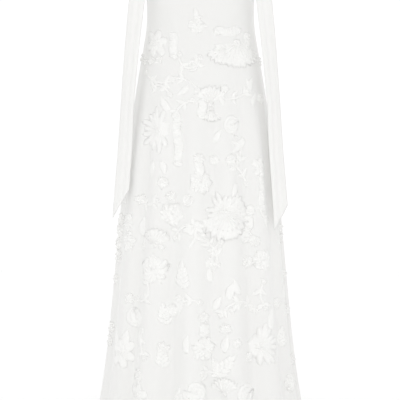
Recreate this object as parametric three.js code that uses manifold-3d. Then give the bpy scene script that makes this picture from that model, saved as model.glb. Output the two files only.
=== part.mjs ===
// A sleeveless long dress with a long sash at each shoulder, filled out with no wearer in it.
// Millimetres, +Z up, the front faces -Y and +X is to the right of someone who looks at the front.
// The origin lies midway between the shoulders, at the height of the shoulders' highest point.
//
// Each panel is a wall of even thickness on one surface, P(turn, level). "turn" is the angle round
// the body, 0 at the panel's own centre line and 90 degrees at the side seam. "level" is the height
// up to the shoulders, and above SHOULDER_BASE it runs on round the shoulder to its seam.
import * as THREE from "three";
import { mergeVertices } from "three/addons/utils/BufferGeometryUtils.js";
import Module from "manifold-3d";

// ---- Driving dimensions -------------------------------------------------------------------------
const WALL = 2;
const SEAM_GAP = 0.3;
const HEM = -1440;
const WAIST = -400;
const UNDERARM = -205;
const SHOULDER_BASE = -60;
const SHOULDER_SEAM = 40;
const SHOULDER_SLOPE = 0.27;
const NECK_HALF_WIDTH = 105;
const NECK_BOTTOM = -75;
const FOLDS_START = -430;
const FOLDS_FULL = -1000;
const FOLDS_AT_FULL = 0.75;
const SIDE_SEAM = 90;
const SASH_WIDTH = 42;
const SASH_WALL = 2;
const ZIP_SLIDER_LEVEL = -92;

// ---- Resolution ---------------------------------------------------------------------------------
const COLUMNS = 15;
const FINE_EDGE = 18;
const SAME_TURN = 0.01;
const NORMAL_STEP = 0.05;
const SASH_STEP = 0.05;
const MAX_PASSES = 8;
const SKIRT_ROWS = 15;
const BODICE_ROWS = 4;
const ARMHOLE_LEVELS = [-190, -160, -118, NECK_BOTTOM];
const NECK_LEVELS = [-70, -56, -34, -10, 15, SHOULDER_SEAM];

// ---- Tables -------------------------------------------------------------------------------------
// The body of the dress without its folds: half width, and depth in front of and behind the sides.
const SECTIONS = [
  { at: "hem", level: HEM, halfWidth: 260, front: 205, back: 215 },
  { at: "shin", level: -1357, halfWidth: 246, front: 197, back: 206 },
  { at: "calf", level: -1253, halfWidth: 233, front: 187, back: 196 },
  { at: "under knee", level: -1149, halfWidth: 223, front: 177, back: 187 },
  { at: "knee", level: -1045, halfWidth: 214, front: 168, back: 178 },
  { at: "over knee", level: -954, halfWidth: 206, front: 160, back: 170 },
  { at: "mid thigh", level: -860, halfWidth: 197, front: 151, back: 163 },
  { at: "thigh", level: -760, halfWidth: 186, front: 141, back: 154 },
  { at: "hip", level: -629, halfWidth: 169, front: 127, back: 140 },
  { at: "high hip", level: -560, halfWidth: 159, front: 118, back: 130 },
  { at: "belly", level: -499, halfWidth: 149, front: 110, back: 118 },
  { at: "below waist", level: -447, halfWidth: 141, front: 103, back: 108 },
  { at: "waist", level: WAIST, halfWidth: 139, front: 100, back: 102 },
  { at: "ribs", level: -340, halfWidth: 142, front: 109, back: 100 },
  { at: "bust", level: -275, halfWidth: 150, front: 123, back: 101 },
  { at: "underarm", level: UNDERARM, halfWidth: 155, front: 117, back: 101 },
  { at: "chest", level: -120, halfWidth: 172, front: 98, back: 97 },
  { at: "shoulder base", level: SHOULDER_BASE, halfWidth: 190, front: 76, back: 90 },
  { at: "shoulder seam", level: SHOULDER_SEAM, halfWidth: 190, front: 76, back: 90 },
];

// Where the armhole cuts a panel off, as a turn from its centre line.
const ARMHOLE = [
  { level: UNDERARM, turn: 90 },
  { level: -192, turn: 74 },
  { level: -165, turn: 61 },
  { level: -120, turn: 54.5 },
  { level: SHOULDER_BASE, turn: 52 },
  { level: SHOULDER_SEAM, turn: 60 },
];

// Where the neckline cuts a panel off.
const NECKLINE = [
  { level: NECK_BOTTOM, turn: 0 },
  { level: -71, turn: 10 },
  { level: -60, turn: 20 },
  { level: -42, turn: 27.5 },
  { level: -20, turn: 31.5 },
  { level: 6, turn: 33.2 },
  { level: SHOULDER_SEAM, turn: 33.5 },
];

// The skirt's soft upright folds by their place round the body and their depth at the hem. A ridge
// stands out from the plain body and a trough, with a depth below 0, lies in it.
const FRONT_FOLDS = [
  { turn: -90, half: 15, depth: 8 },
  { turn: -60, half: 13, depth: 6 },
  { turn: -32, half: 14, depth: 10 },
  { turn: -5, half: 13, depth: 9 },
  { turn: 21, half: 12, depth: 8 },
  { turn: 47, half: 14, depth: 10 },
  { turn: 70, half: 9, depth: 5 },
  { turn: 90, half: 11, depth: 8 },
  { turn: -75, half: 10, depth: -4 },
  { turn: -46, half: 11, depth: -6 },
  { turn: -18.5, half: 11, depth: -12 },
  { turn: 8, half: 11, depth: -12 },
  { turn: 34, half: 11, depth: -8 },
  { turn: 59, half: 10, depth: -5 },
  { turn: 80, half: 8, depth: -4 },
];
const BACK_FOLDS = [
  { turn: -90, half: 15, depth: 8 },
  { turn: -64, half: 11, depth: 6 },
  { turn: -41, half: 12, depth: 9 },
  { turn: -16, half: 13, depth: 8 },
  { turn: 15, half: 12, depth: 9 },
  { turn: 38, half: 11, depth: 7 },
  { turn: 63, half: 13, depth: 9 },
  { turn: 90, half: 11, depth: 8 },
  { turn: -77, half: 10, depth: -4 },
  { turn: -52, half: 10, depth: -5 },
  { turn: -28, half: 11, depth: -11 },
  { turn: 0, half: 12, depth: -11 },
  { turn: 27, half: 11, depth: -11 },
  { turn: 50, half: 11, depth: -5 },
  { turn: 77, half: 10, depth: -5 },
];

// Appliqued blossoms: where each centre lies as seen from the panel's side, its size and its petals.
const FRONT_FLOWERS = [
  { x: -10, z: -448, radius: 24, petals: 5 },
  { x: -110, z: -492, radius: 36, petals: 7 },
  { x: 101, z: -530, radius: 38, petals: 8 },
  { x: 28, z: -650, radius: 34, petals: 6 },
  { x: -123, z: -712, radius: 48, petals: 9 },
  { x: -60, z: -745, radius: 21, petals: 4 },
  { x: 76, z: -705, radius: 25, petals: 5 },
  { x: 132, z: -612, radius: 24, petals: 4 },
  { x: -4, z: -836, radius: 30, petals: 6 },
  { x: 147, z: -812, radius: 26, petals: 5 },
  { x: -71, z: -925, radius: 30, petals: 6 },
  { x: 66, z: -930, radius: 50, petals: 9 },
  { x: -184, z: -950, radius: 30, petals: 5 },
  { x: 156, z: -1030, radius: 30, petals: 7 },
  { x: -118, z: -1050, radius: 38, petals: 7 },
  { x: -46, z: -1086, radius: 27, petals: 4 },
  { x: 27, z: -1070, radius: 22, petals: 4 },
  { x: 78, z: -1118, radius: 24, petals: 4 },
  { x: -164, z: -1180, radius: 26, petals: 5 },
  { x: 8, z: -1252, radius: 27, petals: 6 },
  { x: 165, z: -1245, radius: 52, petals: 8 },
  { x: -196, z: -1262, radius: 36, petals: 6 },
  { x: 60, z: -1295, radius: 26, petals: 5 },
  { x: -92, z: -1275, radius: 26, petals: 5 },
  { x: -15, z: -1352, radius: 30, petals: 5 },
  { x: 110, z: -1365, radius: 28, petals: 6 },
  { x: -150, z: -1362, radius: 28, petals: 5 },
];
const BACK_FLOWERS = [
  { x: -72, z: -500, radius: 34, petals: 7 },
  { x: 84, z: -560, radius: 36, petals: 8 },
  { x: -104, z: -665, radius: 28, petals: 5 },
  { x: 60, z: -715, radius: 46, petals: 9 },
  { x: -68, z: -820, radius: 44, petals: 8 },
  { x: 142, z: -850, radius: 30, petals: 6 },
  { x: 50, z: -930, radius: 28, petals: 5 },
  { x: -150, z: -960, radius: 34, petals: 7 },
  { x: -55, z: -1040, radius: 30, petals: 6 },
  { x: 118, z: -1060, radius: 48, petals: 9 },
  { x: -135, z: -1150, radius: 40, petals: 8 },
  { x: 45, z: -1190, radius: 28, petals: 5 },
  { x: 165, z: -1230, radius: 30, petals: 6 },
  { x: -65, z: -1290, radius: 44, petals: 9 },
  { x: 80, z: -1335, radius: 36, petals: 7 },
  { x: -185, z: -1345, radius: 30, petals: 5 },
];
const FLOWER_RISE = 9;
const BUTTON_SHARE = 0.28;
const BUTTON_HOLLOW = 0.35;
const BUTTON_NARROWNESS = 7;
const PETAL_NOTCH = 0.32;

// Appliqued vines: arcs about a centre, from one bearing through a sweep, in degrees.
const FRONT_VINES = [
  { x: -28, z: -533, radius: 26, from: 160, sweep: 200 },
  { x: -92, z: -520, radius: 74, from: 215, sweep: 75 },
  { x: 70, z: -560, radius: 76, from: 235, sweep: 80 },
  { x: -28, z: -990, radius: 38, from: 20, sweep: 150 },
  { x: 98, z: -1190, radius: 52, from: 30, sweep: 130 },
  { x: -150, z: -1110, radius: 30, from: 240, sweep: 190 },
  { x: 60, z: -770, radius: 46, from: -60, sweep: 110 },
];
const BACK_VINES = [
  { x: 0, z: -620, radius: 44, from: 200, sweep: 120 },
  { x: -10, z: -905, radius: 46, from: 100, sweep: 140 },
  { x: 120, z: -760, radius: 40, from: -80, sweep: 140 },
  { x: -10, z: -1130, radius: 48, from: 20, sweep: 130 },
];
const VINE_HALF_WIDTH = 8;
const VINE_RISE = 5;

// A hanging sash: its middle and the turn that brings its inner edge forward.
const SASH_PATH = [
  { level: -75, x: 140.5, y: -60, turn: 30 },
  { level: -120, x: 143, y: -71, turn: 22 },
  { level: -205, x: 148, y: -75, turn: 14 },
  { level: -275, x: 154, y: -75, turn: 10 },
  { level: -374, x: 161, y: -71, turn: 12 },
  { level: -500, x: 174, y: -67, turn: 25 },
  { level: -629, x: 185, y: -66, turn: 34 },
  { level: -760, x: 192, y: -69, turn: 28 },
  { level: -860, x: 199, y: -77, turn: 25 },
  { level: -980, x: 206, y: -88, turn: 22 },
];
const SASH_ENDS = {
  left: { inner: -864, outer: -935 },
  right: { inner: -965, outer: -903 },
};
const SASH_STRAP_LEVELS = [38, 15, -10, -34];
const SASH_ROWS = 17;
const SASH_EASE_ROWS = 3;
const SASH_START = -75;
// A soft fold runs down each sash: how far each column stands forward, from inner to outer edge.
const SASH_COLUMNS = [
  { across: 0, forward: 0 },
  { across: 0.22, forward: 2.4 },
  { across: 0.4, forward: 0.8 },
  { across: 0.62, forward: 2.8 },
  { across: 0.82, forward: 1.6 },
  { across: 1, forward: 0 },
];

// ---- Colours ------------------------------------------------------------------------------------
const CLOTH = { color: 0xf3f2ee, roughness: 0.85, metalness: 0 };
const SATIN = { color: 0xf6f5f2, roughness: 0.55, metalness: 0 };
const ENAMEL = { color: 0xe9e8e4, roughness: 0.35, metalness: 0.1 };

// ---- Helpers ------------------------------------------------------------------------------------
const radians = THREE.MathUtils.degToRad;
const lerp = THREE.MathUtils.lerp;
const smoothstep = THREE.MathUtils.smoothstep;

// The value of one named column at a level, on a smooth curve through the table's rows.
function column(table, name, level) {
  const rising = table[0].level < table[table.length - 1].level;
  const rows = rising ? table : [...table].reverse();
  const last = rows.length - 1;
  if (level <= rows[0].level) return rows[0][name];
  if (level >= rows[last].level) return rows[last][name];
  const i = rows.findIndex((row) => row.level > level) - 1;
  const slope = (k) => {
    const below = rows[Math.max(k - 1, 0)];
    const above = rows[Math.min(k + 1, last)];
    return (above[name] - below[name]) / (above.level - below.level);
  };
  const step = rows[i + 1].level - rows[i].level;
  const t = (level - rows[i].level) / step;
  const value = (2 * t ** 3 - 3 * t ** 2 + 1) * rows[i][name] + (3 * t ** 2 - 2 * t ** 3) * rows[i + 1][name];
  const bend = (t ** 3 - 2 * t ** 2 + t) * slope(i) + (t ** 3 - t ** 2) * slope(i + 1);
  return value + bend * step;
}

// ---- The dress's surface ------------------------------------------------------------------------
const FRONT = {
  side: -1, depth: "front", folds: FRONT_FOLDS, flowers: FRONT_FLOWERS, vines: FRONT_VINES,
};
const BACK = {
  side: 1, depth: "back", folds: BACK_FOLDS, flowers: BACK_FLOWERS, vines: BACK_VINES,
};

// How far the skirt's folds carry the cloth out from the plain body.
function foldAt(panel, turn, level) {
  const share = 1 - smoothstep(level, FOLDS_FULL, FOLDS_START);
  const growth = share * lerp(1, FOLDS_AT_FULL, smoothstep(level, HEM, FOLDS_FULL));
  let out = 0;
  for (const fold of panel.folds) {
    const away = Math.abs(turn - fold.turn) / fold.half;
    if (away < 1) out += fold.depth * Math.cos(away * Math.PI / 2) ** 2;
  }
  return out * growth;
}

// The cloth's own surface at a signed turn in degrees.
function surface(panel, turn, level) {
  const angle = radians(turn);
  const halfWidth = column(SECTIONS, "halfWidth", level);
  const depth = column(SECTIONS, panel.depth, level);
  const round = radians(90) * Math.max(0, (level - SHOULDER_BASE) / (SHOULDER_SEAM - SHOULDER_BASE));
  const x = halfWidth * Math.sin(angle);
  const y = depth * Math.cos(angle) * Math.cos(round);
  const fold = foldAt(panel, turn, level);
  const length = Math.hypot(x / halfWidth ** 2, y / depth ** 2) || 1;
  const base = Math.min(level, SHOULDER_BASE) - SHOULDER_BASE * Math.sin(round);
  const sloping = smoothstep(level, 2 * SHOULDER_BASE, SHOULDER_SEAM);
  const drop = SHOULDER_SLOPE * (Math.abs(x) - NECK_HALF_WIDTH) * sloping;
  return new THREE.Vector3(
    x + fold * x / halfWidth ** 2 / length,
    panel.side * (y + fold * y / depth ** 2 / length),
    base - drop,
  );
}

// The outward normal, kept level with the seams so that the panels' edges stay parallel there.
function normal(panel, turn, level, seams) {
  const step = NORMAL_STEP;
  const below = level >= SHOULDER_SEAM ? SHOULDER_SEAM - step : level;
  const across = surface(panel, turn + step, level).sub(surface(panel, turn - step, level));
  const up = surface(panel, turn, below + step).sub(surface(panel, turn, below - step));
  const out = across.cross(up).multiplyScalar(-panel.side);
  if (seams.side || seams.shoulder) out.y = 0;
  if (seams.centreBack) out.x = 0;
  return out.normalize();
}

// Distance round the body from the panel's centre line, so that motifs keep their size on the cloth.
function aroundAt(panel, turn, level) {
  const halfWidth = column(SECTIONS, "halfWidth", level);
  const depth = column(SECTIONS, panel.depth, level);
  const angle = radians(turn);
  return angle * (halfWidth + depth) / 2 + Math.sin(2 * angle) * (halfWidth - depth) / 4;
}

function motifsOf(panel) {
  const placed = (motif) => {
    const turn = Math.asin(motif.x / column(SECTIONS, "halfWidth", motif.z)) / radians(1);
    return { ...motif, around: aroundAt(panel, turn, motif.z) };
  };
  return { flowers: panel.flowers.map(placed), vines: panel.vines.map(placed) };
}

// How far an appliqued motif stands off the cloth at a point.
function raisedAt(motifs, around, level) {
  let rise = 0;
  for (const flower of motifs.flowers) {
    const across = around - flower.around;
    const up = level - flower.z;
    const far = Math.hypot(across, up);
    if (far > flower.radius) continue;
    const wave = Math.cos(flower.petals * Math.atan2(up, across));
    const reach = flower.radius * (1 - PETAL_NOTCH * (0.5 - 0.5 * wave));
    const share = Math.max(0, 1 - (far / reach) ** 2);
    const ring = 1 - BUTTON_HOLLOW * Math.exp(-(((far / flower.radius - BUTTON_SHARE) * BUTTON_NARROWNESS) ** 2));
    rise = Math.max(rise, FLOWER_RISE * Math.sqrt(share) * ring);
  }
  for (const vine of motifs.vines) {
    const bearing = Math.atan2(level - vine.z, around - vine.around) / radians(1);
    const along = THREE.MathUtils.euclideanModulo(bearing - vine.from, 360);
    const off = Math.abs(Math.hypot(around - vine.around, level - vine.z) - vine.radius);
    if (along > vine.sweep || off > VINE_HALF_WIDTH) continue;
    rise = Math.max(rise, VINE_RISE * Math.cos(off / VINE_HALF_WIDTH * Math.PI / 2));
  }
  return rise;
}

// True near a motif, where the wall needs small triangles.
function nearMotif(motifs, around, level, margin) {
  const inFlower = motifs.flowers.some((flower) =>
    Math.hypot(around - flower.around, level - flower.z) < flower.radius + margin);
  if (inFlower) return true;
  return motifs.vines.some((vine) => {
    const bearing = Math.atan2(level - vine.z, around - vine.around) / radians(1);
    const along = THREE.MathUtils.euclideanModulo(bearing - vine.from, 360);
    const off = Math.abs(Math.hypot(around - vine.around, level - vine.z) - vine.radius);
    return along < vine.sweep && off < VINE_HALF_WIDTH + margin / 2;
  });
}

// ---- Sheets of points and triangles -------------------------------------------------------------
function levels() {
  const rows = [];
  for (let i = 0; i < SKIRT_ROWS; i++) rows.push(lerp(HEM, WAIST, i / SKIRT_ROWS));
  for (let i = 0; i <= BODICE_ROWS; i++) rows.push(lerp(WAIST, UNDERARM, i / BODICE_ROWS));
  return [...rows, ...ARMHOLE_LEVELS, ...NECK_LEVELS];
}

// A panel's points, by turn and level, and its triangles. A panel with two halves shares its middle.
function panelSheet(panel, halves) {
  const points = [];
  const triangles = [];
  const known = new Map();
  const index = (turn, level) => {
    const key = `${turn.toFixed(5)},${level.toFixed(5)}`;
    if (!known.has(key)) {
      known.set(key, points.length);
      points.push({ turn, level });
    }
    return known.get(key);
  };
  const rows = levels();
  for (const half of halves) {
    const grid = rows.map((level) => {
      const edge = level <= UNDERARM ? SIDE_SEAM : column(ARMHOLE, "turn", level);
      const centre = level <= NECK_BOTTOM ? 0 : column(NECKLINE, "turn", level);
      const line = [];
      for (let j = 0; j <= COLUMNS; j++) {
        line.push(index(half * lerp(edge, centre, j / COLUMNS) + 0, level));
      }
      return line;
    });
    for (let i = 0; i + 1 < rows.length; i++) {
      for (let j = 0; j < COLUMNS; j++) {
        const [a, b, c, d] = [grid[i][j], grid[i][j + 1], grid[i + 1][j + 1], grid[i + 1][j]];
        const pair = (i + j) % 2 ? [[a, b, c], [a, c, d]] : [[a, b, d], [b, c, d]];
        triangles.push(...pair.map((t) => (half * panel.side > 0 ? t : [t[0], t[2], t[1]])));
      }
    }
  }
  return { points, triangles };
}

// Splits the longest edges where the sheet needs small triangles, and leaves no loose corner.
function refine(points, triangles, lengthOf, limitOf) {
  const all = [...points];
  let current = triangles;
  const key = (a, b) => (a < b ? `${a},${b}` : `${b},${a}`);
  const longest = (t) => {
    const lengths = [0, 1, 2].map((k) => lengthOf(all[t[k]], all[t[(k + 1) % 3]]));
    return lengths.indexOf(Math.max(...lengths));
  };
  for (let pass = 0; pass < MAX_PASSES; pass++) {
    const middles = new Map();
    const split = (a, b) => {
      const middle = {
        turn: (all[a].turn + all[b].turn) / 2,
        level: (all[a].level + all[b].level) / 2,
      };
      middles.set(key(a, b), all.length);
      all.push(middle);
    };
    for (const t of current) {
      const k = longest(t);
      const [a, b] = [t[k], t[(k + 1) % 3]];
      if (middles.has(key(a, b))) continue;
      if (lengthOf(all[a], all[b]) > limitOf(all[a], all[b])) split(a, b);
    }
    if (!middles.size) break;
    let growing = true;
    while (growing) {
      growing = false;
      for (const t of current) {
        const k = longest(t);
        const touched = [0, 1, 2].some((e) => middles.has(key(t[e], t[(e + 1) % 3])));
        if (!touched || middles.has(key(t[k], t[(k + 1) % 3]))) continue;
        split(t[k], t[(k + 1) % 3]);
        growing = true;
      }
    }
    current = current.flatMap((t) => {
      const k = longest(t);
      const [a, b, c] = [t[k], t[(k + 1) % 3], t[(k + 2) % 3]];
      const m = middles.get(key(a, b));
      if (m === undefined) return [t];
      const n = middles.get(key(b, c));
      const l = middles.get(key(c, a));
      const first = l === undefined ? [[a, m, c]] : [[a, m, l], [m, c, l]];
      const second = n === undefined ? [[m, b, c]] : [[m, b, n], [m, n, c]];
      return [...first, ...second];
    });
  }
  return { points: all, triangles: current };
}

// The edges that belong to one triangle only, each from its first point to its second.
function openEdges(triangles) {
  const next = new Map();
  const seen = new Set(triangles.flatMap(([a, b, c]) => [`${a},${b}`, `${b},${c}`, `${c},${a}`]));
  for (const t of triangles) {
    for (let k = 0; k < 3; k++) {
      const [a, b] = [t[k], t[(k + 1) % 3]];
      if (!seen.has(`${b},${a}`)) next.set(a, b);
    }
  }
  return next;
}

// Closes a sheet into a wall: a fine outer side, a plain inner side and the cut edge round them.
function closedWall(coarse, fine, outerAt, innerAt) {
  const positions = [];
  const outer = fine.points.map((p) => positions.push(outerAt(p)) - 1);
  const inner = coarse.points.map((p) => positions.push(innerAt(p)) - 1);
  const faces = fine.triangles.map((t) => t.map((k) => outer[k]));
  faces.push(...coarse.triangles.map(([a, b, c]) => [inner[a], inner[c], inner[b]]));
  const fineNext = openEdges(fine.triangles);
  for (const [a, b] of openEdges(coarse.triangles)) {
    let from = a;
    while (from !== b) {
      const to = fineNext.get(from);
      faces.push([outer[to], outer[from], inner[a]]);
      from = to;
    }
    faces.push([outer[b], inner[a], inner[b]]);
  }
  const geometry = new THREE.BufferGeometry();
  const numbers = positions.flatMap((p) => [p.x, p.y, p.z]);
  geometry.setAttribute("position", new THREE.Float32BufferAttribute(numbers, 3));
  geometry.setIndex(faces.flat());
  geometry.computeVertexNormals();
  return geometry;
}

// ---- Pieces -------------------------------------------------------------------------------------
function named(name, geometry, look) {
  const mesh = new THREE.Mesh(geometry, new THREE.MeshStandardMaterial(look));
  mesh.name = name;
  return mesh;
}

// A panel, cut as one piece over both halves or as one half.
function panelPiece(name, panel, halves) {
  const coarse = panelSheet(panel, halves);
  const motifs = motifsOf(panel);
  const place = (p) => ({ around: aroundAt(panel, p.turn, p.level), level: p.level });
  const lengthOf = (p, q) => {
    const [from, to] = [place(p), place(q)];
    return Math.hypot(from.around - to.around, from.level - to.level);
  };
  const limitOf = (p, q) => {
    const middle = place({ turn: (p.turn + q.turn) / 2, level: (p.level + q.level) / 2 });
    return nearMotif(motifs, middle.around, middle.level, FINE_EDGE / 2) ? FINE_EDGE : Infinity;
  };
  const fine = refine(coarse.points, coarse.triangles, lengthOf, limitOf);
  const shift = new THREE.Vector3(
    halves.length === 1 ? halves[0] * SEAM_GAP / 2 : 0,
    panel.side * SEAM_GAP / 2,
    0,
  );
  const at = (p, height) => {
    const seams = {
      side: Math.abs(p.turn) > SIDE_SEAM - SAME_TURN,
      shoulder: p.level >= SHOULDER_SEAM,
      centreBack: halves.length === 1 && p.turn === 0,
    };
    const out = normal(panel, p.turn, p.level, seams);
    return surface(panel, p.turn, p.level).addScaledVector(out, height).add(shift);
  };
  const raised = (p) => raisedAt(motifs, place(p).around, p.level);
  const edged = (p) => Math.abs(p.turn) > SIDE_SEAM - SAME_TURN || (halves.length === 1 && p.turn === 0);
  const outerAt = (p) => at(p, edged(p) ? 0 : raised(p));
  const innerAt = (p) => at(p, -WALL);
  return named(name, closedWall(coarse, fine, outerAt, innerAt), CLOTH);
}

// The middle surface of a sash: it lies on the shoulder first and then hangs straight down.
function sashPoint(ends, across, row) {
  if (row < SASH_STRAP_LEVELS.length) {
    const level = SASH_STRAP_LEVELS[row];
    const x = SASH_PATH[0].x + (across - 0.5) * SASH_WIDTH;
    const turn = Math.asin(x / column(SECTIONS, "halfWidth", level)) / radians(1);
    const out = normal(FRONT, turn, level, {});
    const lying = surface(FRONT, turn, level).addScaledVector(out, SEAM_GAP + SASH_WALL);
    return lying.add(new THREE.Vector3(0, -SEAM_GAP, 0));
  }
  const share = (row - SASH_STRAP_LEVELS.length) / (SASH_ROWS - 1);
  const level = lerp(SASH_START, lerp(ends.inner, ends.outer, across), share);
  const turn = radians(column(SASH_PATH, "turn", level));
  const offset = (across - 0.5) * SASH_WIDTH;
  return new THREE.Vector3(
    column(SASH_PATH, "x", level) + offset * Math.cos(turn),
    column(SASH_PATH, "y", level) + offset * Math.sin(turn),
    level,
  );
}

function sashPiece(name, side, ends) {
  const rows = SASH_STRAP_LEVELS.length + SASH_ROWS;
  const width = SASH_COLUMNS.length;
  const points = [];
  const triangles = [];
  for (let i = 0; i < rows; i++) {
    for (const { across, forward } of SASH_COLUMNS) points.push({ row: i, across, forward });
  }
  for (let i = 0; i + 1 < rows; i++) {
    for (let j = 0; j + 1 < width; j++) {
      const [a, b, c, d] = [i * width + j, (i + 1) * width + j, (i + 1) * width + j + 1, i * width + j + 1];
      triangles.push(...(side > 0 ? [[a, b, c], [a, c, d]] : [[a, c, b], [a, d, c]]));
    }
  }
  const mirrored = (p) => p.multiply(new THREE.Vector3(side, 1, 1));
  const last = rows - 1;
  const at = (p, height) => {
    const [low, high] = [Math.max(p.across - SASH_STEP, 0), Math.min(p.across + SASH_STEP, 1)];
    const [above, below] = [Math.max(p.row - 1, 0), Math.min(p.row + 1, last)];
    const across = sashPoint(ends, high, p.row).sub(sashPoint(ends, low, p.row));
    const down = sashPoint(ends, p.across, below).sub(sashPoint(ends, p.across, above));
    const out = down.cross(across).normalize();
    const hanging = smoothstep(p.row, SASH_STRAP_LEVELS.length, SASH_STRAP_LEVELS.length + SASH_EASE_ROWS);
    return mirrored(sashPoint(ends, p.across, p.row).addScaledVector(out, height + p.forward * hanging));
  };
  const sheet = { points, triangles };
  const geometry = closedWall(sheet, sheet, (p) => at(p, 0), (p) => at(p, -SASH_WALL));
  return named(name, geometry, SATIN);
}

// ---- The concealed zip's slider and pull tab ----------------------------------------------------
const SLIDER = { width: 7, height: 10, thick: 2 };
const BRIDGE = { width: 1.6, height: 8.2, leg: 1.2, room: 2.6, bar: 1, root: 0.5 };
const PULL = { width: 6.4, pin: 1.4, hole: 5.5, holeHalfWidth: 1.6, length: 24, thick: 1.4, corner: 2.4 };

const wasm = await Module();
wasm.setup();

function toManifold(geometry) {
  const bare = geometry.clone();
  bare.deleteAttribute("normal");
  bare.deleteAttribute("uv");
  const merged = mergeVertices(bare, 1e-4);
  return new wasm.Manifold(new wasm.Mesh({
    numProp: 3,
    vertProperties: new Float32Array(merged.attributes.position.array),
    triVerts: new Uint32Array(merged.index.array),
  }));
}

function joined(first, second) {
  const mesh = toManifold(first).add(toManifold(second)).getMesh();
  const geometry = new THREE.BufferGeometry();
  geometry.setAttribute("position", new THREE.BufferAttribute(mesh.vertProperties, 3));
  geometry.setIndex(new THREE.BufferAttribute(mesh.triVerts, 1));
  geometry.computeVertexNormals();
  return geometry;
}

// The bridge seen from the side: it stands out along the shape's x, with its legs' roots in the plate.
function bridgeShape() {
  const half = BRIDGE.height / 2;
  const top = BRIDGE.room + BRIDGE.bar;
  const shape = new THREE.Shape();
  shape.moveTo(-BRIDGE.root, -half);
  shape.lineTo(BRIDGE.room, -half);
  shape.quadraticCurveTo(top, -half, top, -half + BRIDGE.bar);
  shape.lineTo(top, half - BRIDGE.bar);
  shape.quadraticCurveTo(top, half, BRIDGE.room, half);
  shape.lineTo(-BRIDGE.root, half);
  shape.lineTo(-BRIDGE.root, half - BRIDGE.leg);
  shape.lineTo(BRIDGE.room, half - BRIDGE.leg);
  shape.lineTo(BRIDGE.room, -half + BRIDGE.leg);
  shape.lineTo(-BRIDGE.root, -half + BRIDGE.leg);
  shape.closePath();
  return shape;
}

// A flat tab with a hole at its head. Its pin, above the hole, lies along x at the tab's origin.
function pullGeometry() {
  const half = PULL.width / 2;
  const foot = PULL.pin / 2 - PULL.length;
  const outline = new THREE.Shape();
  outline.moveTo(-half, PULL.pin / 2);
  outline.lineTo(-half, foot + PULL.corner);
  outline.quadraticCurveTo(-half, foot, -half + PULL.corner, foot);
  outline.lineTo(half - PULL.corner, foot);
  outline.quadraticCurveTo(half, foot, half, foot + PULL.corner);
  outline.lineTo(half, PULL.pin / 2);
  outline.closePath();
  const hole = new THREE.Path();
  hole.moveTo(-PULL.holeHalfWidth, -PULL.pin / 2);
  hole.lineTo(PULL.holeHalfWidth, -PULL.pin / 2);
  hole.lineTo(PULL.holeHalfWidth, -PULL.hole);
  hole.lineTo(-PULL.holeHalfWidth, -PULL.hole);
  hole.closePath();
  outline.holes.push(hole);
  const plate = new THREE.ExtrudeGeometry(outline, {
    depth: PULL.thick, bevelEnabled: false, curveSegments: 4,
  });
  plate.translate(0, 0, -PULL.thick / 2);
  const facingOut = new THREE.Matrix4().makeBasis(
    new THREE.Vector3(-1, 0, 0), new THREE.Vector3(0, 0, 1), new THREE.Vector3(0, 1, 0),
  );
  return plate.applyMatrix4(facingOut);
}

// A plate with a bridge standing on it. Its own x runs across the back, y out from it and z up.
function sliderGeometry() {
  const plate = new THREE.BoxGeometry(SLIDER.width, SLIDER.thick, SLIDER.height);
  plate.translate(0, -SLIDER.thick / 2, 0);
  const bridge = new THREE.ExtrudeGeometry(bridgeShape(), {
    depth: BRIDGE.width, bevelEnabled: false, curveSegments: 4,
  });
  bridge.translate(0, 0, -BRIDGE.width / 2);
  const upright = new THREE.Matrix4().makeBasis(
    new THREE.Vector3(0, 1, 0), new THREE.Vector3(0, 0, 1), new THREE.Vector3(1, 0, 0),
  );
  return joined(plate, bridge.applyMatrix4(upright));
}

// The slider closes the back at the neck, and its pull hangs from a pin under the bridge.
function zip() {
  const group = new THREE.Group();
  const seams = { centreBack: true };
  const out = normal(BACK, 0, ZIP_SLIDER_LEVEL, seams);
  const foot = surface(BACK, 0, ZIP_SLIDER_LEVEL).addScaledVector(out, SEAM_GAP + SLIDER.thick);
  group.position.copy(foot).add(new THREE.Vector3(0, SEAM_GAP / 2, 0));
  group.rotation.x = Math.atan2(out.z, out.y);
  const slider = named("zip_slider", sliderGeometry(), ENAMEL);
  const pull = named("zip_pull", pullGeometry(), ENAMEL);
  pull.position.y = BRIDGE.room / 2;
  group.add(slider, pull);
  return group;
}

// ---- The dress ----------------------------------------------------------------------------------
const dress = new THREE.Group();
dress.add(
  panelPiece("front", FRONT, [-1, 1]),
  panelPiece("back_left", BACK, [-1]),
  panelPiece("back_right", BACK, [1]),
  sashPiece("sash_left", -1, SASH_ENDS.left),
  sashPiece("sash_right", 1, SASH_ENDS.right),
  zip(),
);

export default dress;
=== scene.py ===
import math
from collections import namedtuple
from functools import lru_cache

import bmesh
import bpy
from bpy.props import FloatProperty, FloatVectorProperty, PointerProperty
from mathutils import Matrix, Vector
from mathutils.kdtree import KDTree


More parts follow.
